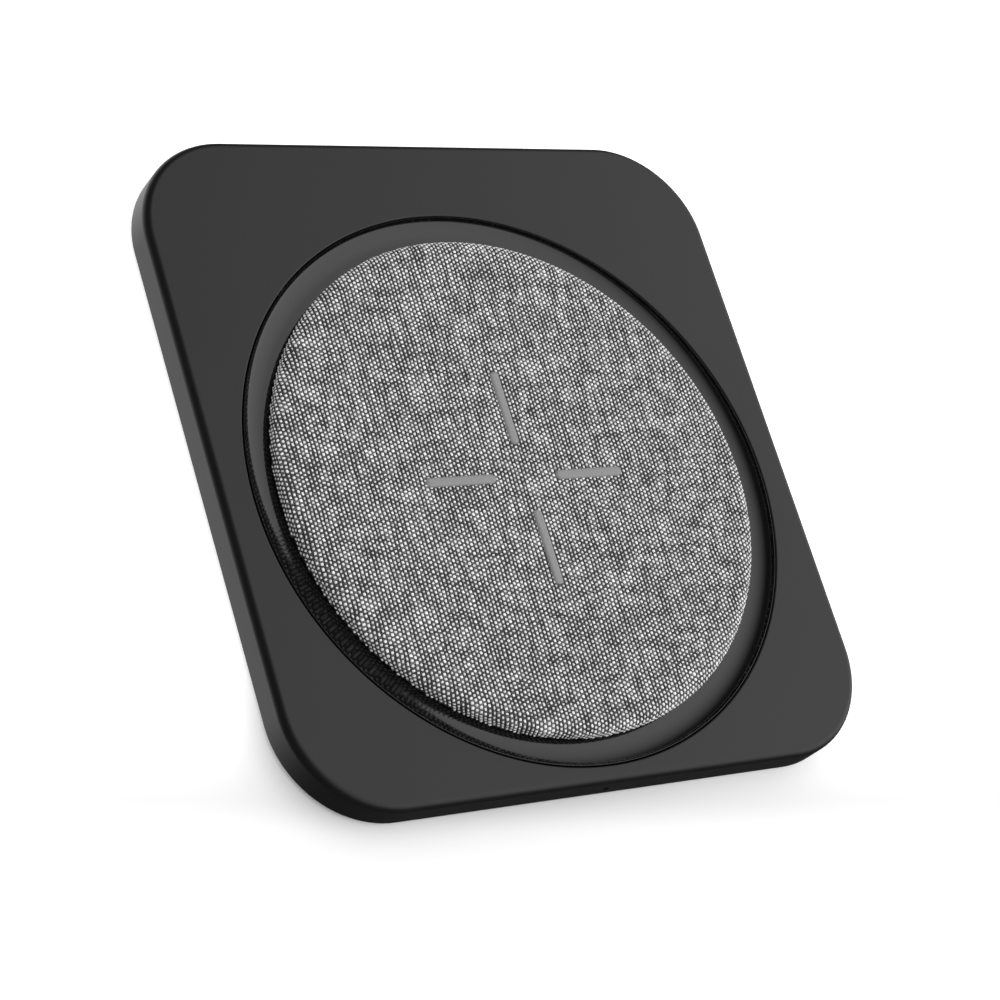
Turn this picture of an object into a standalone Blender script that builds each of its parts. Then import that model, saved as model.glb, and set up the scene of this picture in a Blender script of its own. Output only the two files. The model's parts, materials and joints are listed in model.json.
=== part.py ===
"""A wireless charging pad: a thin moulded shell with a round fabric-covered disc set in a glossy recess.

Metres, +Z up. The pad lies on its rubber feet: the origin is the middle of its outline, on the surface it
stands on. -Y is the edge with the status light, +Y is the edge with the USB-C port.
"""

import math

import bmesh
import bpy
from mathutils import Matrix, Vector

MM = 0.001

# ---- Driving dimensions, in millimetres ----

# The body: a slab with round corners.
PAD_WIDTH = 100.0
PAD_LENGTH = 105.0
CORNER_RADIUS = 16.0
BODY_HEIGHT = 5.5
TOP_EDGE_RADIUS = 1.6
BOTTOM_EDGE_RADIUS = 0.6
SIDE_WALL = 1.6
PLATE_WALL = 1.0
COVER_WALL = 1.0

# The charging disc: a moulded carrier under stretched fabric, with four grip bars.
DISC_RADIUS = 40.0
DISC_RISE = 1.0
DISC_EDGE_WIDTH = 2.0
DISC_EDGE_DROP = 1.1
FABRIC_WALL = 0.45
HEM_DEPTH = 1.25
HEM_WIDTH = 1.1
CARRIER_WALL = 1.1
SKIRT_WALL = 1.2
SKIRT_FOOT = 2.4
BAR_LENGTH = 12.0
BAR_WIDTH = 1.5
BAR_HEIGHT = 0.25
BAR_REACH = 11.35
BAR_EDGE = 0.15

# The round recess in the plate, and the glossy ring that lines it.
RECESS_MARGIN = 2.35
GROOVE_WIDTH = 5.0
RECESS_LIP = 0.3
RECESS_DEPTH = 1.65
COVE_WIDTH = 3.4
COVE_RIM = 0.1
RING_FLOOR_WALL = 0.8
RING_TUCK = 1.3
LEDGE_WIDTH = 2.4
LEDGE_WALL = 0.6
COLLAR_WALL = 1.2

# The feet, and the screws that they hide.
FOOT_RADIUS = 4.5
FOOT_PROUD = 0.5
FOOT_POCKET = 0.5
FOOT_INSET = 11.0
FOOT_EDGE = 0.2
SCREW_HEAD_RADIUS = 1.7
SCREW_HEAD_HEIGHT = 0.6
SCREW_RADIUS = 0.8
SCREW_LENGTH = 2.7
COVER_BOSS_RADIUS = 3.4
COVER_BOSS_HEIGHT = 1.1
SHELL_BOSS_RADIUS = 2.6

# The coil stack under the disc.
COIL_OUTER_RADIUS = 21.5
COIL_INNER_RADIUS = 10.25
COIL_TURNS = 9
WIRE_RADIUS = 0.45
FERRITE_SIDE = 50.0
FERRITE_CORNER = 6.0
FERRITE_WALL = 0.8
LEAD_SLOT_WIDTH = 1.8
FOAM_RADIUS = 22.0
FOAM_REST = 0.35
THERMISTOR_RADIUS = 0.9
LEAD_RADIUS = 0.4
LEAD_PASSAGE = 8.0
LEAD_SPACING = 2.4
LEAD_RUN = 4.0

# The circuit board, its port and what is soldered to it.
BOARD_LENGTH = 62.0
BOARD_WALL = 0.8
BOARD_RISE = 2.6
BOARD_SCREW_REACH = 27.5
BOARD_SCREW_RADIUS = 0.7
BOARD_SCREW_HEAD = 1.4
BOARD_SCREW_HEAD_HEIGHT = 0.4
BOARD_SCREW_BITE = 0.9
BOARD_BOSS_WALL = 0.6
PORT_WIDTH = 8.94
PORT_HEIGHT = 3.16
PORT_SHEET = 0.3
PORT_LENGTH = 7.3
PORT_SETBACK = 0.4
TONGUE_WIDTH = 6.69
TONGUE_WALL = 0.7
TONGUE_LENGTH = 4.4
TONGUE_HEEL = 1.2

# The parts on the board: how far right of its middle, how far from its front (0) to its back (1), and size.
CONTROLLER = (-10.5, 0.5, (5.0, 5.0, 0.9))
BRIDGE = (11.0, 0.5, (5.0, 6.0, 0.9))
RESONANCE_CAPACITOR = (16.5, 0.5, (1.8, 3.2, 0.9))
RESONANCE_CAPACITOR_PITCH = 2.4
SUPPLY_INDUCTOR = (-17.5, 0.5, (4.0, 4.0, 1.0))
INPUT_CAPACITOR_ROWS = (0.25, 0.75)
INPUT_CAPACITOR = (-6.4, (1.2, 2.0, 0.8))
RIBBON_SOCKET = (-22.8, 0.75, (4.0, 1.8, 0.7))

# The status light.
LIGHT_HOLE_RADIUS = 0.6
LIGHT_PIPE_RADIUS = 0.35
LIGHT_RISE = 2.8
LIGHT_SETBACK = 0.4
LIGHT_PIPE_BODY = (2.2, 2.4, 0.8)
LED_BOARD = (8.0, 4.0, 0.4)
LED_OVERHANG = 0.6
STATUS_LED = (1.6, 0.8, 0.7)
LIGHT_BAY = (3.4, 4.2)
RIBBON_WIDTH = 2.0
RIBBON_WALL = 0.2
RIBBON_CLEAR_OF_FERRITE = 6.5

# Named clearances.
GAP = 0.3
SOLDER_GAP = 0.2
ROUND_END_FLAT = 0.05

# How finely round pieces are cut.
CORNER_STEPS = 8
EDGE_STEPS = 4
COVE_STEPS = 8
DISC_STEPS = 60
SMALL_STEPS = 16
COIL_STEPS = 18

# ---- Heights and radii that follow from them ----

RECESS_RADIUS = DISC_RADIUS + GROOVE_WIDTH
DISC_OFFSET = RECESS_MARGIN + RECESS_RADIUS - PAD_LENGTH / 2
RING_INNER_RADIUS = DISC_RADIUS - RING_TUCK
BODY_BASE = FOOT_PROUD
PLATE_TOP = BODY_BASE + BODY_HEIGHT
CEILING = PLATE_TOP - PLATE_WALL
COVER_TOP = BODY_BASE + COVER_WALL
RING_FLOOR = PLATE_TOP - RECESS_DEPTH
RING_BASE = RING_FLOOR - RING_FLOOR_WALL
LEDGE_TOP = RING_BASE - GAP
LEDGE_BASE = LEDGE_TOP - LEDGE_WALL
RING_OUTER_RADIUS = RECESS_RADIUS - GAP
FABRIC_TOP = PLATE_TOP + DISC_RISE
HEM_BASE = PLATE_TOP - HEM_DEPTH
CARRIER_RADIUS = DISC_RADIUS - FABRIC_WALL - GAP
CARRIER_TOP = FABRIC_TOP - FABRIC_WALL - GAP
CARRIER_CEILING = CARRIER_TOP - CARRIER_WALL
SKIRT_RADIUS = RING_INNER_RADIUS - GAP
FOOT_X = PAD_WIDTH / 2 - FOOT_INSET
FOOT_Y = PAD_LENGTH / 2 - FOOT_INSET
COIL_LEVEL = CARRIER_CEILING - GAP - WIRE_RADIUS
FERRITE_TOP = COIL_LEVEL - WIRE_RADIUS - GAP
FERRITE_BASE = FERRITE_TOP - FERRITE_WALL
INNER_END_Y = PAD_LENGTH / 2 - SIDE_WALL
BOARD_FRONT = DISC_OFFSET + RECESS_RADIUS + COLLAR_WALL + GAP
BOARD_BACK = INNER_END_Y - GAP
PORT_LEVEL = BODY_BASE + BODY_HEIGHT / 2
PORT_MOUTH = PAD_LENGTH / 2 - PORT_SETBACK
BOARD_TOP = BOARD_RISE + BOARD_WALL
LEAD_OVER = BOARD_TOP + GAP + LEAD_RADIUS


# ---- Small tools ----


def clear_scene():
    for item in list(bpy.data.objects):
        bpy.data.objects.remove(item, do_unlink=True)


def material(name, colour, roughness, metallic=0.0):
    """A plain Principled material in a piece's own colour."""
    made = bpy.data.materials.new(name)
    made.use_nodes = True
    shader = made.node_tree.nodes["Principled BSDF"]
    shader.inputs["Base Color"].default_value = (*colour, 1.0)
    shader.inputs["Roughness"].default_value = roughness
    shader.inputs["Metallic"].default_value = metallic
    return made


def add_object(name, data, finish=None):
    """Links an object for the mesh or curve, with its material."""
    made = bpy.data.objects.new(name, data)
    bpy.context.scene.collection.objects.link(made)
    if finish:
        data.materials.append(finish)
    return made


def mesh_object(name, bm, finish=None, sharp=35.0):
    """Turns a bmesh into an object whose round faces are shaded smooth."""
    bmesh.ops.recalc_face_normals(bm, faces=bm.faces)
    mesh = bpy.data.meshes.new(name)
    bm.to_mesh(mesh)
    bm.free()
    mesh.shade_smooth()
    mesh.set_sharp_from_angle(angle=math.radians(sharp))
    return add_object(name, mesh, finish)


def as_tool(item):
    """Marks an object as a cutter or a guide, which isn't a piece itself."""
    item.hide_render = True
    item.display_type = "WIRE"
    return item


def combine(piece, tool, operation="DIFFERENCE"):
    """Cuts a tool from a piece, or joins it on."""
    step = piece.modifiers.new(operation.title() + " " + tool.name, "BOOLEAN")
    step.operation = operation
    step.solver = "EXACT"
    step.object = as_tool(tool)


def arc(centre, radii, start, end, steps):
    """Points along an elliptical arc between two angles in degrees."""
    turns = [math.radians(start + (end - start) * i / steps) for i in range(steps + 1)]
    return [(centre[0] + radii[0] * math.cos(t), centre[1] + radii[1] * math.sin(t)) for t in turns]


def round_rectangle(half_width, half_length, radius, steps=CORNER_STEPS):
    """The outline of a rectangle with round corners, anticlockwise."""
    outline = []
    corners = ((1, 1), (-1, 1), (-1, -1), (1, -1))
    for quarter, (side_x, side_y) in enumerate(corners):
        centre = (side_x * (half_width - radius), side_y * (half_length - radius))
        outline += arc(centre, (radius, radius), 90 * quarter, 90 * quarter + 90, steps)
    return outline


def loft(name, loops, finish=None):
    """Skins a row of loops that have the same number of points, and closes both ends. Millimetres."""
    bm = bmesh.new()
    rows = [[bm.verts.new(Vector(point) * MM) for point in loop] for loop in loops]
    for low, high in zip(rows, rows[1:]):
        for i in range(len(low)):
            j = (i + 1) % len(low)
            bm.faces.new((low[i], low[j], high[j], high[i]))
    bm.faces.new(list(reversed(rows[0])))
    bm.faces.new(rows[-1])
    return mesh_object(name, bm, finish)


def slab(name, outline, low, high, finish=None):
    """An outline raised into a flat plate."""
    return loft(name, [[(x, y, z) for x, y in outline] for z in (low, high)], finish)


def block(name, low, high, finish=None):
    """A box between two corners."""
    outline = [(low[0], low[1]), (high[0], low[1]), (high[0], high[1]), (low[0], high[1])]
    return slab(name, outline, low[2], high[2], finish)


def turned(name, profile, finish=None, centre=(0.0, 0.0), steps=DISC_STEPS):
    """Turns a closed (radius, height) profile about an upright axis; points on the axis become poles."""
    bm = bmesh.new()
    columns = []
    for radius, height in profile:
        count = 1 if radius == 0 else steps
        ring = []
        for i in range(count):
            turn = 2 * math.pi * i / steps
            x = centre[0] + radius * math.cos(turn)
            y = centre[1] + radius * math.sin(turn)
            ring.append(bm.verts.new((x * MM, y * MM, height * MM)))
        columns.append(ring)
    for k, ring in enumerate(columns):
        after = columns[(k + 1) % len(columns)]
        if len(ring) == 1 and len(after) == 1:
            continue
        for i in range(steps):
            j = (i + 1) % steps
            corners = [ring[i % len(ring)], ring[j % len(ring)], after[j % len(after)], after[i % len(after)]]
            bm.faces.new(list(dict.fromkeys(corners)))
    return mesh_object(name, bm, finish)


def rod(name, centre, radius, low, high, finish=None, steps=SMALL_STEPS):
    """An upright cylinder."""
    profile = [(0, low), (radius, low), (radius, high), (0, high)]
    return turned(name, profile, finish, centre, steps)


def along_y(item, centre_height):
    """Lays a piece that was built upright about the origin down along +Y, at a height in millimetres."""
    item.data.transform(Matrix.Rotation(math.radians(-90), 4, "X"))
    item.data.transform(Matrix.Translation((0, 0, centre_height * MM)))
    return item


def wire(name, points, radius, finish):
    """A round lead along a smooth curve through the points."""
    curve = bpy.data.curves.new(name, "CURVE")
    curve.dimensions = "3D"
    curve.bevel_depth = radius * MM
    curve.bevel_resolution = 1
    curve.use_fill_caps = True
    spline = curve.splines.new("POLY")
    route = smooth_route(points, 3)
    spline.points.add(len(route) - 1)
    for spot, place in zip(spline.points, route):
        spot.co = (*(place * MM), 1.0)
    return add_object(name, curve, finish)


def smooth_route(points, steps):
    """Catmull-Rom points through a route's own points."""
    spots = [Vector(p) for p in points]
    ends = [spots[0] * 2 - spots[1], *spots, spots[-1] * 2 - spots[-2]]
    route = []
    for a, b, c, d in zip(ends, ends[1:], ends[2:], ends[3:]):
        for i in range(steps):
            t = i / steps
            bend = (2 * a - 5 * b + 4 * c - d) * t**2 + (3 * b - a - 3 * c + d) * t**3
            route.append(0.5 * (2 * b + (c - a) * t + bend))
    return [*route, spots[-1]]


# ---- The body ----


def foot_places():
    return [(x, y) for y in (FOOT_Y, -FOOT_Y) for x in (-FOOT_X, FOOT_X)]


def board_screw_places():
    middle = (BOARD_FRONT + BOARD_BACK) / 2
    return [("left", (-BOARD_SCREW_REACH, middle)), ("right", (BOARD_SCREW_REACH, middle))]


def inset_outline(inset):
    """The pad's outline, moved inwards."""
    half_width, half_length = PAD_WIDTH / 2 - inset, PAD_LENGTH / 2 - inset
    return round_rectangle(half_width, half_length, CORNER_RADIUS - inset)


def body_loops():
    """The outer skin from the bottom edge to the plate: the outline at each inset and height."""
    bottom, top = BOTTOM_EDGE_RADIUS, TOP_EDGE_RADIUS
    profile = arc((bottom, BODY_BASE + bottom), (bottom, bottom), 270, 180, EDGE_STEPS)
    profile += arc((top, PLATE_TOP - top), (top, top), 180, 90, EDGE_STEPS)
    return [[(x, y, height) for x, y in inset_outline(inset)] for inset, height in profile]


def recess_cutter():
    """The round hole through the plate, with its small rounded lip."""
    above = PLATE_TOP + 1.0
    mouth = RECESS_RADIUS + RECESS_LIP
    lip = arc((mouth, PLATE_TOP - RECESS_LIP), (RECESS_LIP, RECESS_LIP), 180, 90, 3)
    profile = [(0, LEDGE_TOP), (RECESS_RADIUS, LEDGE_TOP), *lip, (mouth, above), (0, above)]
    return turned("recess_cutter", profile, centre=(0, DISC_OFFSET))


def collar():
    """The wall round the recess, with the ledge that carries the glossy ring."""
    outer, inner = RECESS_RADIUS + COLLAR_WALL, RECESS_RADIUS - LEDGE_WIDTH
    top = CEILING + PLATE_WALL / 2
    profile = [(inner, LEDGE_BASE), (outer, LEDGE_BASE), (outer, top), (inner, top)]
    return turned("collar", profile, centre=(0, DISC_OFFSET))


def port_outline(grow):
    """The rounded slot shape of the USB-C port."""
    half_width, half_height = PORT_WIDTH / 2 + grow, PORT_HEIGHT / 2 + grow
    return round_rectangle(half_width, half_height, half_height - ROUND_END_FLAT, 6)


def port_loop(grow, y):
    return [(x, y, PORT_LEVEL + z) for x, z in port_outline(grow)]


def make_top_shell(finish):
    shell = loft("top_shell", body_loops(), finish)
    combine(shell, slab("cavity", inset_outline(SIDE_WALL), BODY_BASE - 1.0, CEILING))
    combine(shell, collar(), "UNION")
    for i, place in enumerate(foot_places()):
        base = BODY_BASE + COVER_WALL + COVER_BOSS_HEIGHT + GAP
        combine(shell, rod(f"shell_boss_{i}", place, SHELL_BOSS_RADIUS, base, CEILING + 0.5), "UNION")
        tip = BODY_BASE + FOOT_POCKET + SCREW_HEAD_HEIGHT + SCREW_LENGTH
        combine(shell, rod(f"shell_pilot_{i}", place, SCREW_RADIUS + GAP, base - 1.0, tip + GAP))
    for name, place in board_screw_places():
        base = BOARD_TOP + GAP
        boss, pilot = BOARD_SCREW_HEAD + BOARD_BOSS_WALL, BOARD_SCREW_RADIUS + GAP
        combine(shell, rod(f"board_boss_{name}", place, boss, base, CEILING + 0.5), "UNION")
        combine(shell, rod(f"board_pilot_{name}", place, pilot, base - 1.0, CEILING - GAP))
    combine(shell, recess_cutter())
    combine(shell, port_space("shell_port_space"))
    combine(shell, lead_way())
    combine(shell, light_bay())
    outside = -PAD_LENGTH / 2
    hole = rod("light_hole", (0, 0), LIGHT_HOLE_RADIUS, outside - 1.0, outside + SIDE_WALL + 1.0)
    combine(shell, along_y(hole, LIGHT_RISE))
    return shell


def port_space(name):
    """The port's own shape grown by the gap, from behind the port out through the side wall."""
    back, outside = PORT_MOUTH - PORT_LENGTH - GAP, PAD_LENGTH / 2 + 1.0
    return loft(name, [port_loop(GAP, back), port_loop(GAP, outside)])


def lead_way():
    """A notch for the coil's leads: through the ledge under the glossy ring, then up through the collar."""
    front, collar_face = DISC_OFFSET + RING_INNER_RADIUS, DISC_OFFSET + RECESS_RADIUS - GAP / 3
    back, base = BOARD_FRONT - GAP / 2, LEDGE_BASE - 1.0
    low, high = LEDGE_TOP + GAP / 2, LEAD_OVER + LEAD_RADIUS + GAP
    outline = [(front, base), (back, base), (back, high), (collar_face, high)]
    outline += [(collar_face, low), (front, low)]
    return loft("lead_way", [[(x, y, z) for y, z in outline] for x in (-LEAD_PASSAGE / 2, LEAD_PASSAGE / 2)])


def light_bay():
    """The space behind the side wall for the light pipe."""
    wall, reach = -PAD_LENGTH / 2 + SIDE_WALL, LIGHT_BAY[0] / 2
    low = (-reach, wall, LEDGE_BASE - 1.0)
    return block("light_bay", low, (reach, wall + LIGHT_BAY[1], LEDGE_TOP + GAP * 2 / 3))


def foot_station_cutter(name, place):
    """The foot's pocket, the screw head's seat above it and the screw's hole, in one stepped tool."""
    below, above = BODY_BASE - 1.0, COVER_TOP + COVER_BOSS_HEIGHT + 1.0
    pocket = BODY_BASE + FOOT_POCKET
    seat = pocket + SCREW_HEAD_HEIGHT + GAP
    foot, head, shank = FOOT_RADIUS + GAP, SCREW_HEAD_RADIUS + GAP, SCREW_RADIUS + GAP
    profile = [(0, below), (foot, below), (foot, pocket), (head, pocket)]
    profile += [(head, seat), (shank, seat), (shank, above), (0, above)]
    return turned(name, profile, centre=place, steps=SMALL_STEPS)


def make_bottom_cover(finish):
    cover = slab("bottom_cover", inset_outline(SIDE_WALL + GAP), BODY_BASE, COVER_TOP, finish)
    top = COVER_TOP + COVER_BOSS_HEIGHT
    for i, place in enumerate(foot_places()):
        combine(cover, rod(f"cover_boss_{i}", place, COVER_BOSS_RADIUS, COVER_TOP - 0.3, top), "UNION")
    for i, place in enumerate(foot_places()):
        combine(cover, foot_station_cutter(f"foot_station_{i}", place))
    combine(cover, port_space("cover_port_space"))
    return cover


def make_feet(finish):
    """Four rubber feet: flat discs with a softened lower edge."""
    top = BODY_BASE + FOOT_POCKET - GAP
    edge = arc((FOOT_RADIUS - FOOT_EDGE, FOOT_EDGE), (FOOT_EDGE, FOOT_EDGE), 270, 360, 3)
    profile = [(0, 0), *edge, (FOOT_RADIUS, top), (0, top)]
    for i, place in enumerate(foot_places()):
        turned(f"rubber_foot_{i + 1}", profile, finish, place, 24)


def make_cover_screws(finish):
    base = BODY_BASE + FOOT_POCKET
    neck = base + SCREW_HEAD_HEIGHT
    profile = [(0, base), (SCREW_HEAD_RADIUS, base), (SCREW_HEAD_RADIUS, neck - 0.1), (SCREW_RADIUS, neck)]
    profile += [(SCREW_RADIUS, neck + SCREW_LENGTH - 0.4), (0, neck + SCREW_LENGTH)]
    for i, place in enumerate(foot_places()):
        turned(f"cover_screw_{i + 1}", profile, finish, place, 16)


# ---- The recess and the disc ----


def make_gloss_ring(finish):
    """A coved ring: a flat floor that sweeps up to the plate in a quarter of an ellipse."""
    centre = (RING_OUTER_RADIUS - COVE_WIDTH, PLATE_TOP - COVE_RIM)
    cove = arc(centre, (COVE_WIDTH - COVE_RIM, RECESS_DEPTH - COVE_RIM), 270, 360, COVE_STEPS)
    profile = [(RING_INNER_RADIUS, RING_BASE), (RING_OUTER_RADIUS, RING_BASE)]
    profile += [(RING_OUTER_RADIUS, PLATE_TOP - COVE_RIM), *reversed(cove), (RING_INNER_RADIUS, RING_FLOOR)]
    return turned("gloss_ring", profile, finish, (0, DISC_OFFSET))


def disc_edge(inset):
    """The rounded shoulder of the disc, from its flat top to its side, moved inwards."""
    centre = (DISC_RADIUS - DISC_EDGE_WIDTH, FABRIC_TOP - DISC_EDGE_DROP)
    radii = (DISC_EDGE_WIDTH - inset, DISC_EDGE_DROP - inset)
    return arc(centre, radii, 90, 0, EDGE_STEPS)


def make_disc_carrier(finish):
    """The moulded puck under the fabric: hollow for the coil, with a skirt that centres it in the ring."""
    flange_base = HEM_BASE + FABRIC_WALL + GAP
    inner = SKIRT_RADIUS - SKIRT_WALL
    profile = [(0, CARRIER_TOP), *disc_edge(FABRIC_WALL + GAP), (CARRIER_RADIUS, flange_base)]
    profile += [(SKIRT_RADIUS, flange_base), (SKIRT_RADIUS, SKIRT_FOOT), (inner, SKIRT_FOOT)]
    profile += [(inner, CARRIER_CEILING), (0, CARRIER_CEILING)]
    carrier = turned("disc_carrier", profile, finish, (0, DISC_OFFSET))
    low = (-LEAD_PASSAGE / 2, DISC_OFFSET + inner - 1.0, SKIRT_FOOT - 1.0)
    high = (LEAD_PASSAGE / 2, DISC_OFFSET + SKIRT_RADIUS + 1.0, RING_BASE)
    combine(carrier, block("skirt_notch", low, high))
    return carrier


def make_fabric_cover(finish):
    """The stretched fabric as a plain shell: top, shoulder, side and the hem turned in below."""
    profile = [(0, FABRIC_TOP), *disc_edge(0), (DISC_RADIUS, HEM_BASE), (DISC_RADIUS - HEM_WIDTH, HEM_BASE)]
    hem_top = HEM_BASE + FABRIC_WALL
    profile += [(DISC_RADIUS - HEM_WIDTH, hem_top), (DISC_RADIUS - FABRIC_WALL, hem_top)]
    profile += [*reversed(disc_edge(FABRIC_WALL)), (0, FABRIC_TOP - FABRIC_WALL)]
    return turned("fabric_cover", profile, finish, (0, DISC_OFFSET))


def make_grip_bars(finish):
    """Four low bars with round ends, in an open plus about the disc's centre."""
    base = FABRIC_TOP + GAP
    top = base + BAR_HEIGHT
    for name, turn in (("right", 0), ("top", 90), ("left", 180), ("bottom", 270)):
        loops = []
        for inset, height in ((0, base), (0, top - BAR_EDGE), (BAR_EDGE, top)):
            half = BAR_WIDTH / 2 - inset
            outline = round_rectangle(BAR_LENGTH / 2 - inset, half, half - ROUND_END_FLAT, 6)
            loops.append([(x + BAR_REACH, y, height) for x, y in outline])
        bar = loft(f"grip_bar_{name}", loops, finish)
        bar.data.transform(Matrix.Rotation(math.radians(turn), 4, "Z"))
        bar.location.y = DISC_OFFSET * MM


# ---- The coil stack ----


def make_coil(finish):
    """One layer of litz wire wound into a flat spiral."""
    curve = bpy.data.curves.new("transmit_coil", "CURVE")
    curve.dimensions = "3D"
    curve.bevel_depth = WIRE_RADIUS * MM
    curve.bevel_resolution = 1
    curve.use_fill_caps = True
    spline = curve.splines.new("POLY")
    steps = COIL_TURNS * COIL_STEPS
    spline.points.add(steps)
    low, high = COIL_INNER_RADIUS + WIRE_RADIUS, COIL_OUTER_RADIUS - WIRE_RADIUS
    for i, spot in enumerate(spline.points):
        turn = math.pi / 2 + 2 * math.pi * i / COIL_STEPS
        radius = low + (high - low) * i / steps
        x, y = radius * math.cos(turn), DISC_OFFSET + radius * math.sin(turn)
        spot.co = (x * MM, y * MM, COIL_LEVEL * MM, 1.0)
    return add_object("transmit_coil", curve, finish)


def make_ferrite(finish):
    """The square ferrite sheet, with a slot for the lead from the coil's inner end."""
    half = FERRITE_SIDE / 2
    room = SKIRT_RADIUS - SKIRT_WALL - GAP
    fits = [min(1.0, room / math.hypot(x, y)) for x, y in round_rectangle(half, half, FERRITE_CORNER, 6)]
    outline = round_rectangle(half * min(fits), half * min(fits), FERRITE_CORNER * min(fits), 6)
    outline = [(x, y + DISC_OFFSET) for x, y in outline]
    sheet = slab("ferrite_sheet", outline, FERRITE_BASE, FERRITE_TOP, finish)
    reach = LEAD_SLOT_WIDTH / 2
    low = (-reach, DISC_OFFSET + COIL_INNER_RADIUS - 2.5, FERRITE_BASE - 1.0)
    combine(sheet, block("lead_slot", low, (reach, DISC_OFFSET + half + 1.0, FERRITE_TOP + 1.0)))
    return sheet


def make_foam_pad(finish):
    """The foam that presses the coil stack up against the carrier."""
    base, top = COVER_TOP + FOAM_REST, FERRITE_BASE - GAP
    return rod("foam_pad", (0, DISC_OFFSET), FOAM_RADIUS, base, top, finish, 48)


def make_thermistor(finish):
    """The temperature bead in the middle of the coil."""
    base = FERRITE_TOP + SOLDER_GAP
    bead = arc((0, base + THERMISTOR_RADIUS / 2), (THERMISTOR_RADIUS, THERMISTOR_RADIUS / 2), -90, 90, 6)
    profile = [(0, bead[0][1]), *bead[1:-1], (0, bead[-1][1])]
    return turned("thermistor", profile, finish, (0, DISC_OFFSET), 16)


def make_coil_leads(finish):
    """The two leads, from the coil's ends out under the ring and up onto the board's front edge."""
    coil_start = DISC_OFFSET + COIL_INNER_RADIUS - LEAD_RADIUS - GAP
    coil_end = DISC_OFFSET + COIL_OUTER_RADIUS + LEAD_RADIUS + GAP
    slot = FERRITE_TOP - LEAD_RADIUS - GAP / 3
    low = COVER_TOP + GAP + LEAD_RADIUS
    bend = 3 * LEAD_RADIUS
    skirt = DISC_OFFSET + SKIRT_RADIUS - SKIRT_WALL - LEAD_RUN
    clear = DISC_OFFSET + FERRITE_SIDE / 2 + LEAD_RADIUS + GAP
    dip = max(skirt - LEAD_RUN, clear)
    drop = max(skirt, dip + bend)
    riser = BOARD_FRONT - LEAD_RADIUS - GAP
    inner = [(0, coil_start, COIL_LEVEL), (0, coil_start + bend / 6, slot)]
    inner += [(0, coil_start + LEAD_RUN, slot)]
    outer = [(LEAD_SPACING, coil_end, COIL_LEVEL), (LEAD_SPACING, coil_end + LEAD_RUN, COIL_LEVEL)]
    for name, start in (("coil_lead_inner", inner), ("coil_lead_outer", outer)):
        x = start[0][0]
        route = [*start, (x, dip, slot), (x, drop, low), (x, riser - bend, low)]
        route += [(x, riser, (low + LEAD_OVER) / 2), (x, riser + bend, LEAD_OVER)]
        wire(name, [*route, (x, riser + 2 * bend, LEAD_OVER)], LEAD_RADIUS, finish)


# ---- The circuit board and the port ----


def make_main_board(finish):
    """The board behind the recess, notched for the port that sits through it."""
    half = BOARD_LENGTH / 2
    board = block("main_board", (-half, BOARD_FRONT, BOARD_RISE), (half, BOARD_BACK, BOARD_TOP), finish)
    reach = PORT_WIDTH / 2 + GAP
    low = (-reach, PORT_MOUTH - PORT_LENGTH - GAP, BOARD_RISE - 1.0)
    combine(board, block("port_notch", low, (reach, BOARD_BACK + 1.0, BOARD_TOP + 1.0)))
    for name, place in board_screw_places():
        radius = BOARD_SCREW_RADIUS + GAP
        combine(board, rod(f"board_hole_{name}", place, radius, BOARD_RISE - 1.0, BOARD_TOP + 1.0))
    return board


def make_board_screws(finish):
    top = BOARD_RISE - GAP
    bottom = top - BOARD_SCREW_HEAD_HEIGHT
    tip = BOARD_TOP + GAP + BOARD_SCREW_BITE
    head, shank = BOARD_SCREW_HEAD, BOARD_SCREW_RADIUS
    profile = [(0, bottom), (head, bottom), (head, top), (shank, top), (shank, tip), (0, tip)]
    for name, place in board_screw_places():
        turned(f"board_screw_{name}", profile, finish, place, SMALL_STEPS)


def make_port(metal, plastic):
    """The USB-C receptacle: a drawn metal shell, and the tongue that carries its contacts."""
    back = PORT_MOUTH - PORT_LENGTH
    inside = -PORT_SHEET
    loops = [port_loop(inside, back + PORT_SHEET), port_loop(inside, PORT_MOUTH)]
    loft("usb_c_shell", [*loops, port_loop(0, PORT_MOUTH), port_loop(0, back)], metal)
    heel = back + PORT_SHEET + GAP
    heel_end = heel + TONGUE_HEEL
    heel_half = (TONGUE_WIDTH / 2 + GAP, PORT_HEIGHT / 2 - PORT_SHEET - GAP)
    tongue_half = (TONGUE_WIDTH / 2, TONGUE_WALL / 2)
    tip = heel + TONGUE_LENGTH
    rows = [(heel, heel_half), (heel_end, heel_half), (heel_end, tongue_half), (tip, tongue_half)]
    loft("usb_c_tongue", [[(x, y, PORT_LEVEL + z) for x, z in corners(half)] for y, half in rows], plastic)


def corners(half):
    """A rectangle's four corners from its half sizes."""
    return [(half[0], half[1]), (-half[0], half[1]), (-half[0], -half[1]), (half[0], -half[1])]


def soldered(name, centre_x, along, size, finish):
    """A rectangular part on top of the board; along runs from 0 at the board's front to 1 at its back."""
    y = BOARD_FRONT + (BOARD_BACK - BOARD_FRONT) * along
    base = BOARD_TOP + SOLDER_GAP
    low = (centre_x - size[0] / 2, y - size[1] / 2, base)
    return block(name, low, (centre_x + size[0] / 2, y + size[1] / 2, base + size[2]), finish)


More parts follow.
